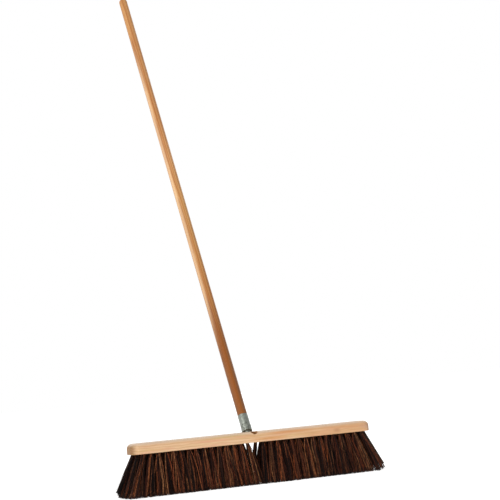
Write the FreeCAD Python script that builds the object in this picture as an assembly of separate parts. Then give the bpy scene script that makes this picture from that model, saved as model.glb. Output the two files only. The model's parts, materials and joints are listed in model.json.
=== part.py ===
"""Push broom: a wooden block with 150 bristle tufts and a wooden handle that screws into it.

Frame: millimetres, X along the block, Y across it (the handle leans to +Y), Z up.
The origin is under the middle of the block, on the plane of the bristle tips.
"""
import FreeCAD, Part
import math
import os

from FreeCAD import Vector

# Block
BLOCK_LENGTH = 610.0
BLOCK_DEPTH = 63.5
BLOCK_THICK = 25.4
BLOCK_PLAN_R = 20.0  # upright corners
BLOCK_TOP_R = 12.7  # rounding of the top edge, all round
BLOCK_BASE_R = 0.8  # easing of the bottom edge

# Bristles
TRIM = 98.0  # free length of the bristles, and so the height of the block's underside
TUFT_PITCH = 18.4  # along a row
TUFT_OFFSET = 1.2  # of a half row, away from the middle of the block
TUFT_ROWS = (-24.0, -12.0, 0.0, 12.0, 24.0)
TUFTS_PER_HALF_ROW = 15
TUFT_HOLE_R = 4.75
TUFT_HOLE_DEPTH = 13.0
TUFT_ROOT_R = 4.45  # packed fibres inside the hole
TUFT_TIP_R = 8.4  # spread fibres at the floor
TUFT_TOP_GAP = 0.3  # above the tuft's fold, in its hole
ROW_LEAN_DEG = 6.5  # outward lean across the block, for each step away from the middle row
END_LEAN_DEG = 24.0  # outward lean of the last tufts along the block
END_LEAN_START = 214.0  # where that lean begins
END_LEAN_POWER = 1.3  # how late it grows
END_TRIM_START = 318.0  # past this the bristles are cut higher, along a parabola
END_TRIM_CURVE = 0.0104
MIDDLE_LEAN_DEG = 6.0  # inward lean of the tufts beside the sockets
MIDDLE_LEAN_REACH = 30.0  # how far along a row it takes to die away

# Anchors: the flat wire that each tuft is folded over
ANCHOR_LENGTH = 9.0
ANCHOR_HEIGHT = 2.2
ANCHOR_THICK = 0.5
ANCHOR_DEPTH = 2.6  # from the hole's floor to the anchor's middle
ANCHOR_GAP = 0.1  # between the anchor and the fibres round it

# Handle and its two sockets, one used and one spare, for wearing the bristles evenly
HANDLE_TILT_DEG = 30.0
SOCKET_Y = 22.5  # where a socket's axis meets the plane of the block's top
SOCKET_DEPTH = 21.5  # from that point, along the axis
SOCKET_CORE_R = 8.0
SOCKET_MAJOR_R = 9.8
SOCKET_MOUTH = 8.0  # how far the socket's cutter stands out of the mouth
THREAD_PITCH = 5.08  # five threads to the inch
THREAD_CORE_R = 7.7
THREAD_MAJOR_R = 9.525  # three quarters of an inch across
THREAD_ROOT_W = 1.7
THREAD_CREST_W = 0.8
THREAD_SIDE_GAP = 0.25  # between the thread and its socket, each side
THREAD_SINK = 0.4  # how far the rib's root runs into the core, so that they join
THREAD_BOTTOM = -18.2  # middle of the rib's first and last turns, along the axis
THREAD_TOP = -3.0
HANDLE_R = 11.9
HANDLE_LENGTH = 1524.0  # from the end of the metal tip to the domed top
HANDLE_DOME_R = 9.0
ROD_SHOULDER_CHAMFER = 0.6
TIP_END = -20.5  # along the axis, from where it meets the plane of the block's top
COLLAR_SEAT_GAP = 0.1  # between the collar and the block's rounded edge
COLLAR_LENGTH = 17.5
COLLAR_R = 12.75
SLEEVE_LENGTH = 27.5
SLEEVE_R = 12.4
TENON_R = 11.0
TENON_GAP = 0.05
TENON_END = 5.0
NOSE_R = 5.2  # the rod's slim end, inside the thread
NOSE_END = -17.3
TIP_END_CHAMFER = 1.2

# Nail that holds the metal tip on the rod
NAIL_R = 1.45
NAIL_LENGTH = 30.0
NAIL_POINT = 4.0
NAIL_HEAD_R = 3.2
NAIL_HEAD_THICK = 1.0
NAIL_GAP = 0.05
NAIL_SEAT_R = 3.5
NAIL_SEAT_DEPTH = 1.3
CUT_MARGIN = 5.0  # how far a cutting solid reaches past what it cuts

BLOCK_TOP = TRIM + BLOCK_THICK
TILT = math.radians(HANDLE_TILT_DEG)
ROUNDING_Y = BLOCK_DEPTH / 2 - BLOCK_TOP_R  # middle of the rounding that the sockets break into
ROUNDING_REACH = (ROUNDING_Y - SOCKET_Y) * math.sin(TILT) + BLOCK_TOP_R * (1 - math.cos(TILT))
COLLAR_START = ROUNDING_REACH + COLLAR_SEAT_GAP  # along the axis, as all the ends above


def save(shape, name):
    shape.exportStep("parts/" + name + ".step")


def turned(points):
    """Solid of revolution about Z from an outline of (radius, height) points."""
    corners = [Vector(r, 0, z) for r, z in points]
    outline = Part.makePolygon(corners + [corners[0]])
    return Part.Face(outline).revolve(Vector(), Vector(0, 0, 1), 360)


def along_socket(shape, side):
    """Moves a shape built along Z onto a socket's axis: side 1 is the rear socket, -1 the front one."""
    placed = shape.copy()
    placed.rotate(Vector(), Vector(1, 0, 0), -side * HANDLE_TILT_DEG)
    placed.translate(Vector(0, side * SOCKET_Y, BLOCK_TOP))
    return placed


def helical_rib(core_r, major_r, root_w, crest_w, bottom, top):
    """Right-handed rib of a coarse thread, in phase with every other rib made here."""
    helix = Part.makeHelix(THREAD_PITCH, top - bottom, core_r)
    inner = core_r - THREAD_SINK
    section = Part.makePolygon([
        Vector(inner, 0, -root_w / 2),
        Vector(major_r, 0, -crest_w / 2),
        Vector(major_r, 0, crest_w / 2),
        Vector(inner, 0, root_w / 2),
        Vector(inner, 0, -root_w / 2),
    ])
    rib = Part.Wire(helix.Edges).makePipeShell([section], True, True)
    rib.rotate(Vector(), Vector(0, 0, 1), 360 * bottom / THREAD_PITCH)
    rib.translate(Vector(0, 0, bottom))
    return rib


def socket_cutter():
    """What a socket's drill and tap take out of the block, along Z."""
    core = Part.makeCylinder(SOCKET_CORE_R, SOCKET_DEPTH + SOCKET_MOUTH, Vector(0, 0, -SOCKET_DEPTH))
    quarter_turn = THREAD_PITCH / 4
    rib = helical_rib(
        SOCKET_CORE_R,
        SOCKET_MAJOR_R,
        THREAD_ROOT_W + 2 * THREAD_SIDE_GAP,
        THREAD_CREST_W + 2 * THREAD_SIDE_GAP,
        THREAD_BOTTOM - quarter_turn,
        SOCKET_MOUTH - THREAD_PITCH / 2,
    )
    return core.fuse(rib)


def tuft_places(row, side):
    """Mouths (x, y) of one half row's holes. Those that the sockets would break into are left out."""
    y = TUFT_ROWS[row]
    if row in (1, 3):
        first = 1.5
    elif row == 2:
        first = 2.0
    else:
        first = 1.0
    return [(side * (TUFT_OFFSET + TUFT_PITCH * (first + n)), y) for n in range(TUFTS_PER_HALF_ROW)]


def end_lean(x):
    """Outward lean along the block, in degrees, which only the tufts near its ends have."""
    span = BLOCK_LENGTH / 2 - TUFT_PITCH / 2 - END_LEAN_START
    return END_LEAN_DEG * min(1.0, max(0.0, abs(x) - END_LEAN_START) / span) ** END_LEAN_POWER


def tuft_lean(row, x):
    """(lean along X, lean along Y) in degrees, positive towards the plus side at the bristle tips."""
    nearest = abs(tuft_places(row, 1)[0][0])
    middle_lean = MIDDLE_LEAN_DEG * max(0.0, 1 - (abs(x) - nearest) / MIDDLE_LEAN_REACH)
    side = math.copysign(1, x)
    return side * (end_lean(x) - middle_lean), (row - 2) * ROW_LEAN_DEG


def place_tuft(shape, row, x, y):
    """Moves a shape built about the origin, with the tuft's mouth there, to its hole and lean."""
    lean_x, lean_y = (math.tan(math.radians(a)) for a in tuft_lean(row, x))
    placed = shape.copy()
    upward = Vector(-lean_x, -lean_y, 1)
    placed.Placement = FreeCAD.Placement(
        Vector(x, y, TRIM), FreeCAD.Rotation(Vector(0, 0, 1), upward)
    ).multiply(placed.Placement)
    return placed


def tuft_shape():
    """One bunch of fibres along Z with its anchor's slot, longer than any tuft before its trim."""
    top = TUFT_HOLE_DEPTH - TUFT_TOP_GAP
    longest = TRIM / math.cos(math.radians(END_LEAN_DEG + 2 * ROW_LEAN_DEG))
    tip_r = TUFT_ROOT_R + (TUFT_TIP_R - TUFT_ROOT_R) * longest / TRIM
    bunch = turned([(0, top), (TUFT_ROOT_R, top), (TUFT_ROOT_R, 0), (tip_r, -longest), (0, -longest)])
    slot_size = Vector(ANCHOR_LENGTH + 1, ANCHOR_THICK + 2 * ANCHOR_GAP, ANCHOR_HEIGHT + 2 * ANCHOR_GAP)
    corner = Vector(-slot_size.x / 2, -slot_size.y / 2, TUFT_HOLE_DEPTH - ANCHOR_DEPTH - slot_size.z / 2)
    return bunch.cut(Part.makeBox(slot_size.x, slot_size.y, slot_size.z, corner))


def anchor_shape():
    """One flat wire anchor across a tuft's fold."""
    low = TUFT_HOLE_DEPTH - ANCHOR_DEPTH - ANCHOR_HEIGHT / 2
    corner = Vector(-ANCHOR_LENGTH / 2, -ANCHOR_THICK / 2, low)
    return Part.makeBox(ANCHOR_LENGTH, ANCHOR_THICK, ANCHOR_HEIGHT, corner)


def trimmed_tuft(bunch, row, x, y):
    """A tuft in its place, cut level, and higher where its tip reaches out past the block's end."""
    tip_x = abs(x) + TRIM * math.tan(math.radians(end_lean(x)))
    lift = END_TRIM_CURVE * max(0.0, tip_x - END_TRIM_START) ** 2
    reach = BLOCK_LENGTH
    above_cut = Part.makeBox(2 * reach, reach, reach, Vector(-reach, -reach / 2, lift))
    return place_tuft(bunch, row, x, y).common(above_cut)


def tufts(row, side):
    bunch = tuft_shape()
    placed = [trimmed_tuft(bunch, row, x, y) for x, y in tuft_places(row, side)]
    return Part.makeCompound([solid for shape in placed for solid in shape.Solids])


def anchors(row, side):
    plate = anchor_shape()
    return Part.makeCompound([place_tuft(plate, row, x, y) for x, y in tuft_places(row, side)])


def tuft_hole_cutters():
    drill = Part.makeCylinder(TUFT_HOLE_R, TUFT_HOLE_DEPTH + CUT_MARGIN, Vector(0, 0, -CUT_MARGIN))
    return [
        place_tuft(drill, row, x, y)
        for row in range(len(TUFT_ROWS))
        for side in (-1, 1)
        for x, y in tuft_places(row, side)
    ]


def block():
    """The board with its roundings, two threaded sockets and 150 tuft holes."""
    corner = Vector(-BLOCK_LENGTH / 2, -BLOCK_DEPTH / 2, TRIM)
    board = Part.makeBox(BLOCK_LENGTH, BLOCK_DEPTH, BLOCK_THICK, corner)
    upright = [e for e in board.Edges if abs(e.tangentAt(e.FirstParameter).z) > 0.5]
    board = board.makeFillet(BLOCK_PLAN_R, upright)
    top = [e for e in board.Edges if e.BoundBox.ZMin > BLOCK_TOP - 0.01]
    board = board.makeFillet(BLOCK_TOP_R, top)
    base = [e for e in board.Edges if e.BoundBox.ZMax < TRIM + 0.01]
    board = board.makeFillet(BLOCK_BASE_R, base)
    cutter = socket_cutter()
    for side in (-1, 1):
        board = board.cut(along_socket(cutter, side))
    return board.cut(tuft_hole_cutters())


def handle_rod():
    """Round wooden rod: domed top, tenon in the metal sleeve and slim nose inside the thread."""
    top = TIP_END + HANDLE_LENGTH
    shoulder = COLLAR_START + COLLAR_LENGTH + SLEEVE_LENGTH
    chamfer = ROD_SHOULDER_CHAMFER
    rod = turned([
        (0, NOSE_END),
        (NOSE_R - chamfer, NOSE_END),
        (NOSE_R, NOSE_END + chamfer),
        (NOSE_R, TENON_END),
        (TENON_R - chamfer, TENON_END),
        (TENON_R, TENON_END + chamfer),
        (TENON_R, shoulder),
        (HANDLE_R - chamfer, shoulder),
        (HANDLE_R, shoulder + chamfer),
        (HANDLE_R, top),
        (0, top),
    ])
    rim = [e for e in rod.Edges if e.BoundBox.ZMin > top - 0.01 and e.BoundBox.XLength > HANDLE_R]
    rod = rod.makeFillet(HANDLE_DOME_R, rim)
    pilot = Part.makeCylinder(NAIL_R + NAIL_GAP, NAIL_LENGTH + NAIL_GAP, Vector(0, 0, TIP_END))
    return along_socket(rod.cut(pilot), 1)


def threaded_tip():
    """Cast metal tip: smooth sleeve, slightly wider collar and a hollow male thread."""
    collar_top = COLLAR_START + COLLAR_LENGTH
    sleeve_top = collar_top + SLEEVE_LENGTH - TENON_GAP
    bore_r = TENON_R + TENON_GAP
    nose_bore_r = NOSE_R + TENON_GAP
    shell = turned([
        (0, TIP_END),
        (THREAD_CORE_R - TIP_END_CHAMFER, TIP_END),
        (THREAD_CORE_R, TIP_END + TIP_END_CHAMFER),
        (THREAD_CORE_R, COLLAR_START),
        (COLLAR_R - 0.5, COLLAR_START),
        (COLLAR_R, COLLAR_START + 0.5),
        (COLLAR_R, collar_top - 1.0),
        (SLEEVE_R, collar_top),
        (SLEEVE_R, sleeve_top - 0.4),
        (SLEEVE_R - 0.4, sleeve_top),
        (bore_r, sleeve_top),
        (bore_r, TENON_END - TENON_GAP),
        (nose_bore_r, TENON_END - TENON_GAP),
        (nose_bore_r, NOSE_END - TENON_GAP),
        (0, NOSE_END - TENON_GAP),
    ])
    rib = helical_rib(
        THREAD_CORE_R, THREAD_MAJOR_R, THREAD_ROOT_W, THREAD_CREST_W, THREAD_BOTTOM, THREAD_TOP
    )
    tip = shell.fuse(rib)
    nail_way = Part.makeCylinder(NAIL_R + NAIL_GAP, CUT_MARGIN, Vector(0, 0, TIP_END))
    nail_seat = Part.makeCylinder(NAIL_SEAT_R, NAIL_SEAT_DEPTH, Vector(0, 0, TIP_END))
    return along_socket(tip.cut([nail_way, nail_seat]), 1)


def tip_nail():
    """Round nail up the axis, its head sunk in the end of the metal tip."""
    head = TIP_END + NAIL_SEAT_DEPTH - NAIL_HEAD_THICK - NAIL_GAP
    neck = head + NAIL_HEAD_THICK
    nail = turned([
        (0, head),
        (NAIL_HEAD_R, head),
        (NAIL_HEAD_R, neck),
        (NAIL_R, neck),
        (NAIL_R, neck + NAIL_LENGTH - NAIL_SEAT_DEPTH - NAIL_POINT),
        (0, neck + NAIL_LENGTH - NAIL_SEAT_DEPTH),
    ])
    return along_socket(nail, 1)


def main():
    os.makedirs("parts", exist_ok=True)
    save(block(), "block")
    save(handle_rod(), "handle_rod")
    save(threaded_tip(), "threaded_tip")
    save(tip_nail(), "tip_nail")
    for row in range(len(TUFT_ROWS)):
        for side, word in ((-1, "left"), (1, "right")):
            save(tufts(row, side), f"tufts_row_{row + 1}_{word}")
            save(anchors(row, side), f"anchors_row_{row + 1}_{word}")


main()
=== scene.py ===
import json
import math

import bmesh
import bpy
import numpy as np
from mathutils import Matrix, Vector


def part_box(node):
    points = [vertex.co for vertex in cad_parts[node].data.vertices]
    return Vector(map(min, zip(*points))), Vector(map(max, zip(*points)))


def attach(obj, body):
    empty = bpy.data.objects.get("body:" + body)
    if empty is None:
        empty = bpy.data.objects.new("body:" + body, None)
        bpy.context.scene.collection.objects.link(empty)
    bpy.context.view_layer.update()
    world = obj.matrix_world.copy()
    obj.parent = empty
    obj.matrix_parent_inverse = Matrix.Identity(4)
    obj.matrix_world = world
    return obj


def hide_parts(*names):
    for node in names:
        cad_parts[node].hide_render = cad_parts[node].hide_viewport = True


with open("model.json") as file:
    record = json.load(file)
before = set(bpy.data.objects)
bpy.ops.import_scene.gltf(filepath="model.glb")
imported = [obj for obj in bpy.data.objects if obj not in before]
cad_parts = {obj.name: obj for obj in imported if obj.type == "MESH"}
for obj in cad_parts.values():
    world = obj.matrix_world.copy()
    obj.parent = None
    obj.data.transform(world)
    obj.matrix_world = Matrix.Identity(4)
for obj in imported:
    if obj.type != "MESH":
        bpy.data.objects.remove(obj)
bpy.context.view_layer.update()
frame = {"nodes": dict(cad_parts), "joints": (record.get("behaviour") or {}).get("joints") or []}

MM = 0.001
TO_MM = (1000.0, 1000.0, 1000.0)

# Camera, as an orbit round a point above the block
CAMERA_AZIMUTH = 21.253  # degrees to the left of straight on, which is along +Y
CAMERA_PITCH = 5.829  # it looks up by this much
CAMERA_ROLL = -5.090
CAMERA_DISTANCE = 3.2735
CAMERA_TARGET = Vector((0.0401, 0.0, 0.5613))
CAMERA_LENS = 96.47

# Bristles
FIBRES_PER_TUFT = 150
FIBRE_SIDES = 4
FIBRE_RADIUS = (0.25 * MM, 0.42 * MM)
ROOT_RADIUS = 4.1 * MM
TIP_SPREAD = (12.5 * MM, 9.5 * MM)  # how far the fibre tips spread along and across the block
SPREAD_POWER = 0.78  # below 1 the tufts open faster near the block
ROOT_INSET = 6.0 * MM  # how far up its hole a fibre is drawn
STRANDS_PER_TUFT = 38
STRAND_PULL = 0.85  # how strongly a fibre leans to its strand
STRAND_STRAY = 0.45  # how far strands wander from an even fan, as a share of it
FIBRE_STRAY = 0.07
FIBRE_STEPS = (0.0, 0.14, 0.32, 0.5, 0.68, 0.84, 1.0)  # rings from the tuft's mouth to its tip
STRAND_BEND = 3.2 * MM
STRAND_WAVE = 2.2 * MM
FIBRE_BEND = 0.9 * MM
TUFT_BEND = 1.2 * MM
MIDDLE_BEND = (1.2 * MM, 0.6 * MM)  # left and right: the tufts beside the middle bow in towards it
MIDDLE_TIGHT = (0.0, 0.4)  # and how much less they fan out
MIDDLE_REACH = (0.025, 0.045)  # they do so fully up to the first, and not at all past the second
TRIM_JITTER = 0.45 * MM
TRIM_LIFT = 0.4 * MM  # how much shorter the bristles are than the longest ones
LONGEST_FROM, LONGEST_TO = 0.022, 0.106  # stretch of the block with the longest bristles
LONGEST_EASE = 0.016
END_TRIM_START = (0.324, 0.303)  # left and right: the cut curves up beyond this
END_TRIM_CURVE = (36.0, 15.5)  # in metres of lift per square metre
END_TRIM_MOST = (14.0 * MM, 12.5 * MM)
END_LEAN_START = 0.214  # from here to the ends the tufts lean out
END_FAN = 0.4  # how much wider they fan there, to fill the longer gaps between them
OUTER_FAN = (1.2, 1.24)  # left and right: how far the outermost tufts fan outwards
OUTER_OPENING = (1.12, 0.97)  # the power that opens them
OUTER_SHIFT = (0.2, 0.5)  # how far their middle is pulled outwards
OUTER_TONE = (1.0, 0.72)  # and what their tone is multiplied by
EDGE_ROW = 0.018  # rows further than this from the middle are the front and rear ones
INNER_REACH = 0.72  # the inner rows' outermost tufts fan out by this share of OUTER_FAN
OUTER_CALM = 0.3  # how much of its sway an outermost tuft keeps
MIDDLE_STILL = 0.7  # how much of its sway a tuft beside the middle loses
TUFT_TONE = 0.06  # spread of tone from tuft to tuft
STRAND_TONE = (0.8, 1.2)  # shape of the spread from strand to strand: many dark, some pale
FIBRE_TONE = 0.1
FIBRE_RED = 0.15
FIBRE_TAPER = 0.85  # radius at a fibre's tip, as a share of its root
MOUTH_BAND = 1.9 * MM  # a CAD tuft's points this near the block's underside are its mouth
CUT_BAND = 0.01 * MM  # and these near its lowest point are its cut end
GOLDEN_ANGLE = math.pi * (3 - math.sqrt(5))
SEED = 7

# Stage and light
FLOOR_HALF = 60.0
STAGE_GLOW = 0.55
BRIGHT_SIDE = (-0.7, -0.3, 0.64)
DIM_LEVEL, BRIGHT_LEVEL = (0.38, 0.38, 0.39, 1), (0.75, 0.75, 0.74, 1)
BACKDROP_SIDE = (0.35, 0.92, 0.17)
BACKDROP_LEVEL = (0.95, 0.95, 0.95, 1)
KEY_STRENGTH = 1.1
KEY_SPREAD = 50.0  # degrees
KEY_TOWARDS = (0.7, 0.5, -0.51)
SENSOR_WIDTH = 36.0

# Wood, in millimetres in the frame
BLOCK_PITH = (12.0, 20.0)  # (y, z) of the tree's heart, under the board
BLOCK_RING = 5.2
KNOT = (212.0, -32.0, 107.0)
KNOT_SIZE = (10.0, 9.0, 5.0)
KNOT_PUSH = 9.0  # how far the rings bend round the knot
KNOT_SOFTNESS = 1.4
BLOCK_DRIFT = 16.0
PATCH_SHADE = 0.915  # darkens the patches' colours to suit this light
SOCKET_EDGE = 8.7 * MM  # nearer than this to a socket's axis the wood is darker
SOCKET_BLUR = 0.4 * MM
COLLAR_TOP = 17.6  # along the handle, in millimetres
# Soft patches of colour: middle, half sizes, colour on screen, strength
PATCHES = (
    ((-62.0, -26.0, 118.5), (70.0, 14.0, 3.4), (222, 186, 112), 0.75),
    ((-105.0, -32.0, 111.5), (62.0, 12.0, 3.2), (236, 170, 132), 0.7),
    ((-262.0, -32.0, 105.5), (52.0, 12.0, 3.0), (222, 178, 116), 0.7),
    ((90.0, -28.0, 116.0), (74.0, 14.0, 4.2), (228, 156, 94), 0.85),
    ((38.0, -32.0, 105.0), (62.0, 12.0, 4.6), (224, 156, 86), 0.8),
    ((292.0, -30.0, 110.0), (26.0, 16.0, 9.0), (206, 158, 128), 0.6),
    ((240.0, -32.0, 112.0), (50.0, 12.0, 4.0), (224, 164, 110), 0.6),
)

HANDLE_RING = 3.4
HANDLE_DRIFT = 13.0
HANDLE_FADE = 1500.0  # length over which the handle's tone changes
GRAIN_ACROSS = (0.82, 0.57)  # direction across the handle's grain
GRAIN_SLOPE = 0.004

# Painted light and shade along the handle, in stripes: angle round it from the side that faces the camera,
# half width, both in degrees
HANDLE_VIEW = 23.5  # from there to the -Y side
PAINTED_HIGHLIGHT = (33.0, 17.0)
PAINTED_LEFT_LIGHT = (-36.0, 36.0)
PAINTED_CENTRE_SHADE = (13.0, 24.0)
PAINTED_EDGE_SHADE = (52.0, 5.0)
PAINTED_FRONT_ORANGE = (6.0, 42.0)
# Where along the handle each has no strength and where it has full strength, in millimetres
HIGHLIGHT_REACH = (240.0, 420.0)
LEFT_LIGHT_REACH, LEFT_LIGHT_END = (200.0, 420.0), (1340.0, 1120.0)
CENTRE_SHADE_REACH = (300.0, 500.0)
FRONT_ORANGE_REACH = (380.0, 220.0)
GREY_REACH = (420.0, 160.0)
STRIPE_DRIFT = 16.0  # how far the painted stripes wander, in degrees
STRIPE_CORE = 0.3  # share of a stripe's half width that has its full strength

# Painted highlights: paler stripes along the metal tip, at fixed angles round it from the side that faces
# the camera: angle, half width, strength
SHEEN = ((-66.0, 60.0, 0.2), (66.0, 50.0, 0.12))

# Sockets of a Mix node's colours, which share their names with its other kinds
MIX_FIRST, MIX_SECOND, MIX_RESULT = 6, 7, 2

block_low, block_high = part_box("block")
joints = {joint["name"]: joint for joint in frame["joints"]}
handle_axis = Vector(joints["handle_turn"]["axis"])
handle_foot = Vector(joints["handle_turn"]["pos_m"])
handle_tilt = math.atan2(handle_axis.y, handle_axis.z)


def srgb(red, green, blue):
    """A colour written as 0 to 255 on screen, as the shader's linear colour."""
    def linear(value):
        value /= 255
        return value / 12.92 if value <= 0.04045 else ((value + 0.055) / 1.055) ** 2.4
    return (linear(red), linear(green), linear(blue), 1.0)


# ---- shader helpers


def add(tree, kind, settings=None, **inputs):
    """Adds a node. An input is a number, a colour or another node's output, named with _ for a space."""
    made = tree.nodes.new(kind)
    for key, value in (settings or {}).items():
        setattr(made, key, value)
    for key, value in inputs.items():
        put(tree, made.inputs[key.replace("_", " ")], value)
    return made


def put(tree, socket, value):
    if isinstance(value, bpy.types.NodeSocket):
        tree.links.new(value, socket)
    else:
        socket.default_value = value


def calc(tree, operation, first, second=0.0):
    made = tree.nodes.new("ShaderNodeMath")
    made.operation = operation
    put(tree, made.inputs[0], first)
    put(tree, made.inputs[1], second)
    return made.outputs[0]


def plus(tree, first, second):
    return calc(tree, "ADD", first, second)


def minus(tree, first, second):
    return calc(tree, "SUBTRACT", first, second)


def times(tree, first, second):
    return calc(tree, "MULTIPLY", first, second)


def over(tree, first, second):
    return calc(tree, "DIVIDE", first, second)


def vector(tree, operation, first, second=None):
    made = tree.nodes.new("ShaderNodeVectorMath")
    made.operation = operation
    put(tree, made.inputs[0], first)
    if second is not None:
        put(tree, made.inputs[1], second)
    return made.outputs["Value" if operation in ("LENGTH", "DOT_PRODUCT") else 0]


def noise(tree, where, scales, detail=3.0, roughness=0.5, distortion=0.0):
    """Noise over a space that is stretched by its three scales, per millimetre."""
    stretched = vector(tree, "MULTIPLY", where, scales)
    made = add(
        tree, "ShaderNodeTexNoise", Vector=stretched, Scale=1.0, Detail=detail,
        Roughness=roughness, Distortion=distortion,
    )
    return made.outputs["Fac"]


def band(tree, value, low, high):
    """0 below low and 1 above high, eased, or the other way round when low is the larger."""
    made = add(
        tree, "ShaderNodeMapRange", {"interpolation_type": "SMOOTHSTEP"},
        Value=value, From_Min=low, From_Max=high,
    )
    return made.outputs["Result"]


def stripe(tree, value, centre, half_width):
    """1 where value is at centre, falling to 0 at the half width."""
    away = calc(tree, "ABSOLUTE", minus(tree, value, centre))
    return band(tree, away, half_width, half_width * STRIPE_CORE)


def ramp(tree, value, *stops):
    """Colour along value: each stop is (place, colour)."""
    made = tree.nodes.new("ShaderNodeValToRGB")
    put(tree, made.inputs[0], value)
    elements = made.color_ramp.elements
    while len(elements) < len(stops):
        elements.new(0.5)
    for element, (place, colour) in zip(elements, stops):
        element.position = place
        element.color = colour
    return made.outputs["Color"]


def blend(tree, share, first, second, how="MIX"):
    made = tree.nodes.new("ShaderNodeMix")
    made.data_type = "RGBA"
    made.blend_type = how
    put(tree, made.inputs["Factor"], share)
    put(tree, made.inputs[MIX_FIRST], first)
    put(tree, made.inputs[MIX_SECOND], second)
    return made.outputs[MIX_RESULT]


def tint(tree, share, base, colour):
    """Multiplies base by a colour, as far as share says."""
    return blend(tree, share, base, blend(tree, 1.0, base, colour, "MULTIPLY"))


def bump(tree, height, distance_mm, strength=1.0, under=None):
    inputs = {"Height": height, "Distance": distance_mm * MM, "Strength": strength}
    if under is not None:
        inputs["Normal"] = under
    return add(tree, "ShaderNodeBump", **inputs).outputs["Normal"]


def new_material(name):
    material = bpy.data.materials.new(name)
    material.use_nodes = True
    tree = material.node_tree
    return material, tree, tree.nodes["Principled BSDF"]


def position_mm(tree):
    place = tree.nodes.new("ShaderNodeTexCoord").outputs["Object"]
    return vector(tree, "MULTIPLY", place, TO_MM)


def handle_position_mm(tree):
    """Position with Z along the handle, from where its axis meets the top of the block."""
    place = tree.nodes.new("ShaderNodeTexCoord").outputs["Object"]
    moved = vector(tree, "SUBTRACT", place, tuple(handle_foot))
    turned = add(tree, "ShaderNodeMapping", Vector=moved, Rotation=(handle_tilt, 0.0, 0.0))
    return vector(tree, "MULTIPLY", turned.outputs[0], TO_MM)


def degrees_round_handle(tree, x, y):
    """Angle round the handle, measured from the side that faces the camera."""
    from_front = times(tree, calc(tree, "ARCTAN2", x, times(tree, y, -1.0)), math.degrees(1))
    return plus(tree, from_front, HANDLE_VIEW)


def split(tree, where):
    made = add(tree, "ShaderNodeSeparateXYZ", Vector=where)
    return made.outputs


# ---- materials


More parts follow.
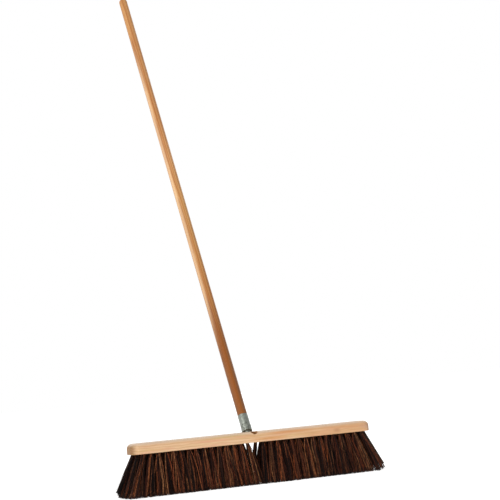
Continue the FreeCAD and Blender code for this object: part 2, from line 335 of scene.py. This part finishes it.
def block_wood():
    """Pale lacquered board, flat sawn, with soft rings, fine fibres, pores and one knot."""
    material, tree, shader = new_material("block_wood")
    where = position_mm(tree)
    x, y, z = split(tree, where)
    drift = noise(tree, where, (0.006, 0.03, 0.03), 3.0, 0.55)
    off_knot = vector(tree, "DIVIDE", vector(tree, "SUBTRACT", where, KNOT), KNOT_SIZE)
    knot_far = vector(tree, "LENGTH", off_knot)
    knot_push = over(tree, KNOT_PUSH, plus(tree, times(tree, knot_far, knot_far), KNOT_SOFTNESS))
    across = minus(tree, y, BLOCK_PITH[0])
    up = minus(tree, z, BLOCK_PITH[1])
    radius = calc(tree, "SQRT", plus(tree, times(tree, across, across), times(tree, up, up)))
    radius = plus(tree, radius, times(tree, drift, BLOCK_DRIFT))
    radius = plus(tree, radius, knot_push)
    ring = calc(tree, "FRACT", over(tree, radius, BLOCK_RING))
    late = times(tree, band(tree, ring, 0.25, 0.9), band(tree, ring, 1.0, 0.93))
    base = ramp(
        tree, late,
        (0.0, srgb(221, 182, 140)), (0.55, srgb(216, 175, 131)), (1.0, srgb(206, 162, 116)),
    )
    streak = noise(tree, where, (0.006, 0.11, 0.16), 3.0, 0.5)
    base = blend(tree, times(tree, band(tree, streak, 0.5, 0.66), 0.6), base, srgb(204, 166, 108))
    rosy = times(tree, band(tree, noise(tree, where, (0.013, 0.07, 0.13), 2.0), 0.5, 0.66), 0.6)
    base = blend(tree, rosy, base, srgb(217, 162, 126))
    warm = plus(tree, over(tree, x, 420.0), noise(tree, where, (0.011, 0.05, 0.06), 2.0, 0.5))
    base = blend(tree, times(tree, band(tree, warm, 0.45, 1.25), 0.75), base, srgb(204, 150, 99))
    for centre, size, colour, strength in PATCHES:
        far = vector(tree, "LENGTH", vector(tree, "DIVIDE", vector(tree, "SUBTRACT", where, centre), size))
        far = plus(tree, far, times(tree, streak, 0.9))
        share = times(tree, band(tree, far, 1.55, 0.7), strength)
        base = blend(tree, share, base, srgb(*(channel * PATCH_SHADE for channel in colour)))
    fibres = noise(tree, where, (0.035, 1.5, 1.5), 6.0, 0.62)
    base = tint(tree, band(tree, fibres, 0.4, 0.75), base, srgb(232, 219, 204))
    pores = band(tree, noise(tree, where, (0.16, 3.2, 3.2), 2.0, 0.6), 0.66, 0.74)
    base = blend(tree, times(tree, pores, 0.3), base, srgb(170, 118, 74))
    knot = band(tree, knot_far, 1.5, 0.2)
    base = blend(tree, times(tree, knot, 0.5), base, srgb(166, 112, 66))
    facing = tree.nodes.new("ShaderNodeTexCoord").outputs["Normal"]
    facing_x, _, facing_z = split(tree, facing)
    # Both ends are darker and greyer: partly the end grain, partly painted shade on the ends.
    end_grain_and_shade = band(tree, calc(tree, "ABSOLUTE", facing_x), 0.2, 1.0)
    base = tint(tree, end_grain_and_shade, base, srgb(178, 172, 164))
    # Painted highlight: faces that point up are paler and greyer, a painted sheen of the lacquer along the
    # top.
    top_sheen = times(tree, band(tree, facing_z, 0.35, 0.9), 0.5)
    base = blend(tree, top_sheen, base, srgb(214, 194, 172))
    for tilt in (1.0, -1.0):
        foot = Vector((handle_foot.x, handle_foot.y * tilt, handle_foot.z))
        axis = Vector((handle_axis.x, handle_axis.y * tilt, handle_axis.z))
        off = vector(tree, "SUBTRACT", tree.nodes.new("ShaderNodeTexCoord").outputs["Object"], tuple(foot))
        off_axis = vector(tree, "LENGTH", vector(tree, "CROSS_PRODUCT", off, tuple(axis)))
        socket_edge = band(tree, off_axis, SOCKET_EDGE + SOCKET_BLUR, SOCKET_EDGE)
        base = blend(tree, socket_edge, base, srgb(172, 116, 62))
    put(tree, shader.inputs["Base Color"], base)
    rough = plus(tree, 0.4, times(tree, fibres, 0.16))
    put(tree, shader.inputs["Roughness"], rough)
    put(tree, shader.inputs["Coat Weight"], times(tree, minus(tree, 1.0, end_grain_and_shade), 0.7))
    shader.inputs["Coat Roughness"].default_value = 0.2
    put(tree, shader.inputs["Specular IOR Level"], minus(tree, 0.5, times(tree, end_grain_and_shade, 0.4)))
    relief = minus(tree, times(tree, fibres, 0.7), times(tree, pores, 0.5))
    put(tree, shader.inputs["Normal"], bump(tree, relief, 0.12, 0.5))
    return material


def handle_wood():
    """Round hardwood rod under amber varnish: straight grain lines that drift along it, with painted light
    and shade in stripes round it.
    """
    material, tree, shader = new_material("handle_wood")
    where = handle_position_mm(tree)
    x, y, z = split(tree, where)
    drift = noise(tree, where, (0.02, 0.02, 0.0022), 3.0, 0.5)
    flat = plus(tree, times(tree, x, GRAIN_ACROSS[0]), times(tree, y, GRAIN_ACROSS[1]))
    flat = plus(tree, flat, times(tree, drift, HANDLE_DRIFT))
    flat = plus(tree, flat, times(tree, z, GRAIN_SLOPE))
    ring = calc(tree, "FRACT", over(tree, flat, HANDLE_RING))
    late = times(tree, band(tree, ring, 0.2, 0.85), band(tree, ring, 1.0, 0.9))
    along = ramp(
        tree, over(tree, z, HANDLE_FADE),
        (0.0, srgb(158, 92, 40)), (0.09, srgb(156, 92, 38)), (0.17, srgb(172, 110, 56)),
        (0.27, srgb(190, 138, 80)), (0.36, srgb(205, 158, 100)), (0.46, srgb(214, 170, 110)),
        (0.58, srgb(221, 172, 118)), (0.68, srgb(209, 158, 104)), (0.82, srgb(206, 156, 102)),
        (1.0, srgb(208, 158, 100)),
    )
    dark = blend(tree, 1.0, along, srgb(212, 190, 170), "MULTIPLY")
    base = blend(tree, late, along, dark)
    streak = noise(tree, where, (0.55, 0.55, 0.006), 5.0, 0.6)
    base = tint(tree, band(tree, streak, 0.42, 0.68), base, srgb(231, 210, 190))
    fibres = noise(tree, where, (2.4, 2.4, 0.05), 5.0, 0.65)
    base = tint(tree, band(tree, fibres, 0.45, 0.72), base, srgb(220, 197, 174))
    stain = times(tree, band(tree, noise(tree, where, (0.06, 0.06, 0.012), 4.0, 0.6), 0.5, 0.72), 0.35)
    base = blend(tree, stain, base, srgb(170, 98, 44))
    round_it = plus(tree, degrees_round_handle(tree, x, y), times(tree, drift, STRIPE_DRIFT))
    # Painted highlight: a paler stripe a little right of the side facing the camera.
    highlight = times(tree, stripe(tree, round_it, *PAINTED_HIGHLIGHT), band(tree, z, *HIGHLIGHT_REACH))
    highlight_wood = blend(tree, 1.0, along, srgb(255, 246, 236), "MULTIPLY")
    base = blend(tree, times(tree, highlight, 0.45), base, highlight_wood)
    # Painted light: the left side of the handle is paler, as if lit from the left, over the middle of its
    # length.
    middle_part = times(tree, band(tree, z, *LEFT_LIGHT_REACH), band(tree, z, *LEFT_LIGHT_END))
    left_light = times(tree, stripe(tree, round_it, *PAINTED_LEFT_LIGHT), middle_part)
    base = blend(tree, times(tree, left_light, 0.55), base, srgb(232, 196, 156))
    # Painted shade: a darker amber stripe down the middle of the side facing the camera, between the painted
    # highlights.
    centre_shade = times(tree, stripe(tree, round_it, *PAINTED_CENTRE_SHADE), band(tree, z, *CENTRE_SHADE_REACH))
    base = blend(tree, times(tree, centre_shade, 0.36), base, srgb(168, 98, 38))
    grey = times(tree, band(tree, z, *GREY_REACH), 0.5)
    base = blend(tree, grey, base, srgb(128, 92, 58))
    # Painted shading across the round at the low end: only the side facing the camera is saturated orange,
    # so the sides keep the greyer colour, a painted grey reflection.
    front_orange = times(tree, stripe(tree, round_it, *PAINTED_FRONT_ORANGE), band(tree, z, *FRONT_ORANGE_REACH))
    base = blend(tree, times(tree, front_orange, 0.9), base, srgb(142, 77, 11))
    # Painted shade: a thin dark line near the right edge of the handle, a painted dark reflection.
    edge = times(tree, stripe(tree, round_it, *PAINTED_EDGE_SHADE), 0.55)
    base = tint(tree, edge, base, srgb(150, 128, 108))
    put(tree, shader.inputs["Base Color"], base)
    rough = plus(tree, 0.42, times(tree, fibres, 0.18))
    put(tree, shader.inputs["Roughness"], rough)
    shader.inputs["Specular IOR Level"].default_value = 0.25
    shader.inputs["Coat Weight"].default_value = 0.08
    shader.inputs["Coat Roughness"].default_value = 0.22
    put(tree, shader.inputs["Normal"], bump(tree, fibres, 0.1, 0.5))
    return material


def tip_metal():
    """Dull zinc: a plain sleeve, and a mottled collar and thread with rubbed high spots, and painted
    highlights in stripes along it.
    """
    material, tree, shader = new_material("tip_metal")
    where = handle_position_mm(tree)
    x, y, z = split(tree, where)
    collar = band(tree, z, COLLAR_TOP + 1.5, COLLAR_TOP - 1.0)
    cloud = noise(tree, where, (0.16, 0.16, 0.12), 4.0, 0.6)
    spots = noise(tree, where, (0.2, 0.2, 0.22), 5.0, 0.65, 0.6)
    grain = noise(tree, where, (2.2, 2.2, 2.2), 3.0, 0.6)
    base = ramp(
        tree, cloud,
        (0.3, srgb(118, 122, 114)), (0.5, srgb(136, 141, 132)), (0.72, srgb(160, 165, 156)),
    )
    round_it = degrees_round_handle(tree, x, y)
    # Painted highlights: paler stripes at fixed angles round the tip.
    for centre, half_width, strength in SHEEN:
        share = times(tree, stripe(tree, round_it, centre, half_width), strength)
        base = blend(tree, share, base, srgb(206, 209, 202))
    dark = times(tree, band(tree, spots, 0.5, 0.62), plus(tree, 0.25, times(tree, collar, 0.5)))
    base = blend(tree, dark, base, srgb(70, 72, 62))
    rubbed = times(tree, band(tree, spots, 0.43, 0.33), plus(tree, 0.1, times(tree, collar, 0.35)))
    base = blend(tree, rubbed, base, srgb(190, 192, 178))
    put(tree, shader.inputs["Base Color"], base)
    shader.inputs["Metallic"].default_value = 0.75
    rough = plus(tree, 0.26, times(tree, cloud, 0.2))
    put(tree, shader.inputs["Roughness"], rough)
    fine = bump(tree, grain, 0.15, 0.35)
    put(tree, shader.inputs["Normal"], bump(tree, spots, 0.5, 0.35, fine))
    return material


def wire_metal(name, light, dark):
    """Steel wire with faint scratches."""
    material, tree, shader = new_material(name)
    where = position_mm(tree)
    scratches = noise(tree, where, (4.0, 4.0, 0.8), 4.0, 0.6)
    put(tree, shader.inputs["Base Color"], ramp(tree, scratches, (0.35, dark), (0.65, light)))
    shader.inputs["Metallic"].default_value = 0.9
    put(tree, shader.inputs["Roughness"], plus(tree, 0.28, times(tree, scratches, 0.25)))
    return material


def bristle():
    """Mixed dark fibres, from black to red brown. Each fibre carries its own tone and redness."""
    material, tree, shader = new_material("bristle")
    fibre = add(tree, "ShaderNodeAttribute", {"attribute_name": "fibre"})
    tone, redness, along = add(tree, "ShaderNodeSeparateColor", Color=fibre.outputs["Color"]).outputs
    plain = ramp(
        tree, tone,
        (0.0, srgb(9, 6, 6)), (0.4, srgb(46, 29, 23)), (0.75, srgb(124, 83, 57)), (1.0, srgb(188, 134, 90)),
    )
    red = ramp(
        tree, tone,
        (0.0, srgb(18, 7, 6)), (0.4, srgb(76, 33, 22)), (0.75, srgb(160, 77, 43)), (1.0, srgb(212, 116, 63)),
    )
    base = blend(tree, redness, plain, red)
    patch = noise(tree, position_mm(tree), (0.45, 0.45, 0.1), 4.0, 0.6)
    shade = ramp(tree, patch, (0.34, (0.2, 0.2, 0.2, 1)), (0.62, (1, 1, 1, 1)))
    base = blend(tree, 1.0, base, shade, "MULTIPLY")
    mottle = noise(tree, position_mm(tree), (1.4, 1.4, 0.16), 3.0, 0.6)
    base = tint(tree, band(tree, mottle, 0.4, 0.7), base, srgb(186, 176, 166))
    # Painted shade: the lowest tenth of each fibre, down by the floor, darkens towards black.
    base = blend(tree, times(tree, band(tree, along, 0.9, 1.0), 0.7), base, srgb(18, 10, 8))
    put(tree, shader.inputs["Base Color"], base)
    put(tree, shader.inputs["Roughness"], plus(tree, 0.5, times(tree, mottle, 0.25)))
    shader.inputs["Specular IOR Level"].default_value = 0.15
    return material


def stage_white():
    """Matt white paper under strong light: its own glow stands for the light that isn't modelled."""
    material, tree, shader = new_material("stage_white")
    mottle = noise(tree, position_mm(tree), (0.004, 0.004, 0.004), 3.0)
    paper = ramp(tree, mottle, (0.3, srgb(236, 236, 236)), (0.7, srgb(240, 240, 240)))
    put(tree, shader.inputs["Base Color"], paper)
    shader.inputs["Roughness"].default_value = 0.9
    shader.inputs["Specular IOR Level"].default_value = 0.0
    shader.inputs["Emission Color"].default_value = (1, 1, 1, 1)
    shader.inputs["Emission Strength"].default_value = STAGE_GLOW
    return material


def dress(node_name, material):
    node = frame["nodes"][node_name]
    node.data.materials.clear()
    node.data.materials.append(material)


# ---- bristles


def islands(mesh):
    """The separate pieces of a CAD mesh, as arrays of their points, from left to right."""
    work = bmesh.new()
    work.from_mesh(mesh)
    bmesh.ops.remove_doubles(work, verts=work.verts, dist=1e-6)
    unseen = set(work.verts)
    found = []
    while unseen:
        waiting = [unseen.pop()]
        points = []
        while waiting:
            vert = waiting.pop()
            points.append(tuple(vert.co))
            for edge in vert.link_edges:
                other = edge.other_vert(vert)
                if other in unseen:
                    unseen.remove(other)
                    waiting.append(other)
        found.append(np.array(points))
    work.free()
    return sorted(found, key=lambda points: points[:, 0].mean())


def middle(points):
    return (points.min(0) + points.max(0)) / 2


def tuft_line(points):
    """(middle of the tuft's mouth at the block's underside, middle of its cut end)."""
    near_mouth = np.abs(points[:, 2] - block_low.z) < MOUTH_BAND
    at_cut = points[:, 2] < points[:, 2].min() + CUT_BAND
    return middle(points[near_mouth]), middle(points[at_cut])


def scattered(count, luck):
    """Points spread evenly over the unit disc, turned and shaken a little."""
    order = np.arange(count)
    reach = np.sqrt((order + 0.5) / count) * luck.uniform(0.9, 1.0, count)
    turn = order * GOLDEN_ANGLE + luck.uniform(0, math.tau) + luck.uniform(-0.2, 0.2, count)
    return np.stack([reach * np.cos(turn), reach * np.sin(turn)], 1)


def trim_height(x):
    """How far above the floor the bristles are cut, along the block."""
    into = np.clip((x - LONGEST_FROM) / LONGEST_EASE, 0, 1)
    out_of = np.clip((LONGEST_TO - x) / LONGEST_EASE, 0, 1)
    longest = into * out_of
    lift = TRIM_LIFT * (1 - longest * longest * (3 - 2 * longest))
    for side, start, curve, most in zip((-1, 1), END_TRIM_START, END_TRIM_CURVE, END_TRIM_MOST):
        lift = lift + np.minimum(curve * np.maximum(0, side * x - start) ** 2, most)
    return lift


def tuft_fibres(mouth, tip, outermost, luck):
    """Centre lines (fibre, ring, xyz) of one tuft, their radii, and each fibre's tone and redness."""
    side = math.copysign(1, mouth[0])
    count = FIBRES_PER_TUFT
    spot = scattered(count, luck)
    strand = scattered(STRANDS_PER_TUFT, luck)
    chosen = ((spot[:, None] - strand[None]) ** 2).sum(2).argmin(1)
    strand_fan = strand + luck.normal(0, STRAND_STRAY, strand.shape)
    fan = spot * (1 - STRAND_PULL) + strand_fan[chosen] * STRAND_PULL
    fan = fan + luck.normal(0, FIBRE_STRAY, spot.shape)
    at_end = np.clip((abs(mouth[0]) - END_LEAN_START) / (block_high.x - END_LEAN_START), 0, 1)
    fan[:, 0] *= 1 + END_FAN * at_end
    near_middle = np.clip((MIDDLE_REACH[1] - abs(mouth[0])) / (MIDDLE_REACH[1] - MIDDLE_REACH[0]), 0, 1)
    fan[:, 0] *= 1 - MIDDLE_TIGHT[side > 0] * near_middle
    if outermost:
        reach = OUTER_FAN[side > 0] * (1.0 if abs(mouth[1]) > EDGE_ROW else INNER_REACH)
        out = fan[:, 0] * side
        shift = OUTER_SHIFT[side > 0]
        out = shift + np.where(out > 0, np.minimum(out, 1) * (reach - shift), out)
        fan[:, 0] = out * side
    root_fan = spot * ROOT_RADIUS
    end_fan = fan * TIP_SPREAD
    trim = trim_height(tip[0] + end_fan[:, 0]) + np.abs(luck.normal(0, TRIM_JITTER, count))
    tuft_sway = luck.normal(0, TUFT_BEND, 2) * (not outermost)
    tuft_sway[0] -= side * MIDDLE_BEND[side > 0] * near_middle
    calm = OUTER_CALM if outermost else 1 - MIDDLE_STILL * near_middle
    sway = luck.normal(0, STRAND_BEND, strand.shape)[chosen] + luck.normal(0, FIBRE_BEND, spot.shape)
    sway = tuft_sway + sway * calm
    wave = luck.normal(0, STRAND_WAVE, strand.shape)[chosen] * calm
    drop = (tip - mouth) / (mouth[2] - tip[2])  # for each unit of height
    inside = mouth - drop * ROOT_INSET
    rings = [np.concatenate([inside[:2] + root_fan, np.full((count, 1), inside[2])], 1)]
    cut = 1 - trim / mouth[2]
    opening = OUTER_OPENING[side > 0] if outermost else SPREAD_POWER
    for step in FIBRE_STEPS:
        down = (step * cut)[:, None]
        line = mouth + drop * mouth[2] * down
        line[:, :2] += root_fan + (end_fan - root_fan) * down ** opening
        line[:, :2] += sway * (down * (1 - down) * 2) + wave * (np.sin(math.tau * down) * 0.5)
        rings.append(line)
    radius = luck.uniform(*FIBRE_RADIUS, count)
    tuft_tone = luck.normal(0, TUFT_TONE)
    strand_tone = luck.beta(*STRAND_TONE, STRANDS_PER_TUFT)[chosen]
    strand_red = luck.uniform(0.0, 1.0, STRANDS_PER_TUFT)[chosen]
    tone = np.clip(strand_tone + tuft_tone + luck.normal(0, FIBRE_TONE, count), 0, 1)
    if outermost:
        tone = tone * OUTER_TONE[side > 0]
    redness = np.clip(strand_red + luck.normal(0, FIBRE_RED, count), 0, 1)
    return np.stack(rings, 1), radius, tone, redness


def fibre_mesh(name, lines, radius, tone, redness):
    """One mesh of capped tubes round the centre lines."""
    fibres, rings, _ = lines.shape
    sides = FIBRE_SIDES
    run = lines[:, -1] - lines[:, 0]
    run /= np.linalg.norm(run, axis=1, keepdims=True)
    east = np.cross(run, (0.0, 1.0, 0.0))
    east /= np.linalg.norm(east, axis=1, keepdims=True)
    north = np.cross(run, east)
    angle = np.arange(sides) * math.tau / sides
    hoop = east[:, None] * np.cos(angle)[None, :, None] + north[:, None] * np.sin(angle)[None, :, None]
    taper = np.linspace(1.0, FIBRE_TAPER, rings)[None, :, None, None]
    points = lines[:, :, None] + hoop[:, None] * radius[:, None, None, None] * taper
    index = np.arange(fibres * rings * sides).reshape(fibres, rings, sides)
    following = np.roll(index, -1, 2)
    walls = np.stack([index[:, :-1], following[:, :-1], following[:, 1:], index[:, 1:]], -1).reshape(-1, 4)
    ends = np.concatenate([index[:, 0, ::-1], index[:, -1]])
    mesh = bpy.data.meshes.new(name)
    mesh.vertices.add(index.size)
    mesh.vertices.foreach_set("co", points.reshape(-1).astype(np.float32))
    corners = np.concatenate([walls.reshape(-1), ends.reshape(-1)])
    mesh.loops.add(len(corners))
    mesh.loops.foreach_set("vertex_index", corners.astype(np.int32))
    starts = np.concatenate([np.arange(len(walls)) * 4, len(walls) * 4 + np.arange(len(ends)) * sides])
    mesh.polygons.add(len(starts))
    mesh.polygons.foreach_set("loop_start", starts.astype(np.int32))
    smooth = np.arange(len(starts)) < len(walls)
    mesh.polygons.foreach_set("use_smooth", smooth)
    mesh.update(calc_edges=True)
    mesh.validate()
    colour = np.ones((fibres, rings, sides, 4), np.float32)
    colour[..., 0] = tone[:, None, None]
    colour[..., 1] = redness[:, None, None]
    colour[..., 2] = np.linspace(0, 1, rings)[None, :, None]
    layer = mesh.attributes.new("fibre", "FLOAT_COLOR", "POINT")
    layer.data.foreach_set("color", colour.reshape(-1))
    return mesh


def bristle_piece(node_name, material, luck):
    ends = [tuft_line(points) for points in islands(frame["nodes"][node_name].data)]
    outermost = max(abs(mouth[0]) for mouth, _ in ends)
    made = [tuft_fibres(mouth, tip, abs(mouth[0]) == outermost, luck) for mouth, tip in ends]
    lines, radius, tone, redness = (np.concatenate(parts) for parts in zip(*made))
    name = node_name.replace("tufts", "bristles")
    piece = bpy.data.objects.new(name, fibre_mesh(name, lines, radius, tone, redness))
    bpy.context.scene.collection.objects.link(piece)
    piece.data.materials.append(material)
    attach(piece, "head")
    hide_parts(node_name)


# ---- stage, light and camera


def make_floor():
    mesh = bpy.data.meshes.new("floor")
    half = FLOOR_HALF
    corners = [(-half, -half, 0), (half, -half, 0), (half, half, 0), (-half, half, 0)]
    mesh.from_pydata(corners, [], [(0, 1, 2, 3)])
    floor = bpy.data.objects.new("floor", mesh)
    bpy.context.scene.collection.objects.link(floor)
    mesh.materials.append(stage_white())


def make_world():
    """Soft light, brighter from the upper left and from behind the broom. The camera sees plain white."""
    world = bpy.data.worlds.new("studio")
    bpy.context.scene.world = world
    world.use_nodes = True
    tree = world.node_tree
    tree.nodes.clear()
    direction = tree.nodes.new("ShaderNodeTexCoord").outputs["Generated"]
    facing = vector(tree, "DOT_PRODUCT", direction, BRIGHT_SIDE)
    level = ramp(tree, band(tree, facing, -1.0, 1.0), (0.0, DIM_LEVEL), (1.0, BRIGHT_LEVEL))
    backdrop = vector(tree, "DOT_PRODUCT", direction, BACKDROP_SIDE)
    level = blend(tree, band(tree, backdrop, 0.3, 0.8), level, BACKDROP_LEVEL)
    lit = add(tree, "ShaderNodeBackground", Color=level, Strength=1.0)
    seen = add(tree, "ShaderNodeBackground", Color=(1, 1, 1, 1), Strength=1.0)
    ray = tree.nodes.new("ShaderNodeLightPath").outputs["Is Camera Ray"]
    mixed = add(tree, "ShaderNodeMixShader", Fac=ray)
    tree.links.new(lit.outputs[0], mixed.inputs[1])
    tree.links.new(seen.outputs[0], mixed.inputs[2])
    output = tree.nodes.new("ShaderNodeOutputWorld")
    tree.links.new(mixed.outputs[0], output.inputs[0])


def make_sun(name, strength, spread_degrees, towards):
    """A soft sun that shines along towards."""
    light = bpy.data.lights.new(name, "SUN")
    light.energy = strength
    light.angle = math.radians(spread_degrees)
    sun = bpy.data.objects.new(name, light)
    sun.rotation_euler = Vector(towards).to_track_quat("-Z", "Y").to_euler()
    bpy.context.scene.collection.objects.link(sun)


def make_camera():
    azimuth, pitch, roll = (math.radians(a) for a in (CAMERA_AZIMUTH, CAMERA_PITCH, CAMERA_ROLL))
    forward = Vector((
        math.sin(azimuth) * math.cos(pitch),
        math.cos(azimuth) * math.cos(pitch),
        math.sin(pitch),
    ))
    level_right = Vector((math.cos(azimuth), -math.sin(azimuth), 0.0))
    level_up = level_right.cross(forward)
    right = level_right * math.cos(roll) + level_up * math.sin(roll)
    up = level_up * math.cos(roll) - level_right * math.sin(roll)
    lens = bpy.data.cameras.new("camera")
    lens.lens = CAMERA_LENS
    lens.sensor_width = SENSOR_WIDTH
    camera = bpy.data.objects.new("camera", lens)
    turn = Matrix((right, up, -forward)).transposed().to_4x4()
    camera.matrix_world = Matrix.Translation(CAMERA_TARGET - forward * CAMERA_DISTANCE) @ turn
    bpy.context.scene.collection.objects.link(camera)
    bpy.context.scene.camera = camera


dress("block", block_wood())
dress("handle_rod", handle_wood())
dress("threaded_tip", tip_metal())
dress("tip_nail", wire_metal("nail_steel", srgb(196, 196, 192), srgb(150, 150, 148)))
anchor_metal = wire_metal("anchor_wire", srgb(206, 206, 200), srgb(158, 158, 154))
fibre_material = bristle()
luck = np.random.default_rng(SEED)
for node_name in sorted(frame["nodes"]):
    if node_name.startswith("anchors"):
        dress(node_name, anchor_metal)
    elif node_name.startswith("tufts"):
        bristle_piece(node_name, fibre_material, luck)

make_floor()
make_world()
make_sun("key", KEY_STRENGTH, KEY_SPREAD, KEY_TOWARDS)
make_camera()
bpy.context.scene.view_settings.view_transform = "Standard"

bpy.context.view_layer.update()
